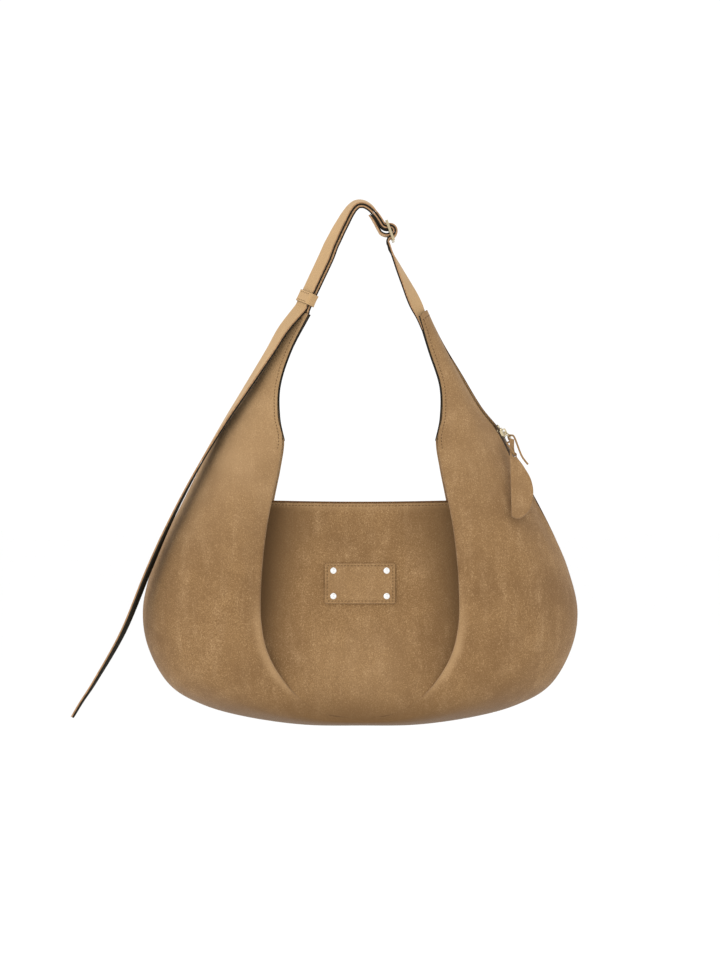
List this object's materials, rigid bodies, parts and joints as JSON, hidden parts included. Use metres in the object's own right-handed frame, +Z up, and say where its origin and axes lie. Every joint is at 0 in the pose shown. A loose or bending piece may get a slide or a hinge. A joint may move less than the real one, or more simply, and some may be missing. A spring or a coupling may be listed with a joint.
{
  "type": "hobo bag",
  "caption": "Slouchy suede hobo bag with folded side wings, a looped shoulder strap with a slide buckle, a side zip and a stitched patch.",
  "frame": {"origin": "the hang point: the underside of the strap at the top of its arch, in the middle plane", "axes": "+Z up; -Y is the bag's front, which carries the patch; +X to the right as the front is seen"},
  "size_m": [0.5284, 0.1138, 0.5529],
  "materials": {
    "suede": "matte suede",
    "suede_pale": "matte suede",
    "lining_cloth": "matte",
    "strap_lining": "satin",
    "binding": "satin",
    "zip_tape": "matte",
    "zip_coil": "satin",
    "bright_metal": "polished",
    "pale_gold": "polished",
    "thong_leather": "satin"
  },
  "bodies": {
    "bag": {"back_panel": "suede", "back_pleat_left": "suede", "back_pleat_right": "suede", "front_panel": "suede", "front_patch": "suede", "front_pleat_left": "suede", "front_pleat_right": "suede", "left_wing_back": "suede", "left_wing_front": "suede", "lining_back": "lining_cloth", "lining_front": "lining_cloth", "long_strap_face": "suede_pale", "long_strap_lining": "strap_lining", "mouth_binding_back": "binding", "mouth_binding_front": "binding", "patch_rivet_caps": "bright_metal", "patch_rivets": "bright_metal", "right_wing_back": "suede", "right_wing_front": "suede", "short_strap_face": "suede_pale", "short_strap_lining": "strap_lining", "wing_binding_back_left": "binding", "wing_binding_back_right": "binding", "wing_binding_front_left": "binding", "wing_binding_front_right": "binding", "zip_bottom_stop": "bright_metal", "zip_tape_back": "zip_tape", "zip_tape_front": "zip_tape", "zip_teeth_back": "zip_coil", "zip_teeth_front": "zip_coil", "zip_top_stop": "bright_metal"},
    "keeper": {"strap_keeper": "suede_pale"},
    "tail": {"tail_face": "suede_pale", "tail_lining": "strap_lining"},
    "buckle": {"buckle_frame": "bright_metal"},
    "slider": {"zip_slider": "pale_gold"},
    "ring": {"pull_ring": "pale_gold"},
    "pull": {"pull_thong": "thong_leather", "pull_tag": "suede"}
  },
  "joints": [
    {"name": "keeper_slide", "type": "slide", "parent": "bag", "child": "keeper", "axis": [0.4239, 0, 0.9057], "range_m": [-0.0015, 0.038]},
    {"name": "tail_swing", "type": "hinge", "parent": "bag", "child": "tail", "pos_m": [-0.06166, -0.00224, -0.10528], "axis": [-0.5065, 0.829, 0.237], "range_deg": [0, 50]},
    {"name": "buckle_rock", "type": "hinge", "parent": "bag", "child": "buckle", "pos_m": [0.0315, 0, -0.0256], "axis": [0, 1, 0], "range_deg": [-3.5, 3.5]},
    {"name": "zip_slide", "type": "slide", "parent": "bag", "child": "slider", "axis": [0.4363, 0, -0.8998], "range_m": [0, 0.1157]},
    {"name": "ring_hinge", "type": "hinge", "parent": "slider", "child": "ring", "pos_m": [0.15151, -0.00113, -0.23621], "axis": [-0.2329, -0.9659, -0.1129], "range_deg": [0, 60]},
    {"name": "pull_swing", "type": "hinge", "parent": "ring", "child": "pull", "pos_m": [0.15812, -0.00205, -0.24193], "axis": [-0.2329, -0.9659, -0.1129], "range_deg": [0, 50]}
  ]
}
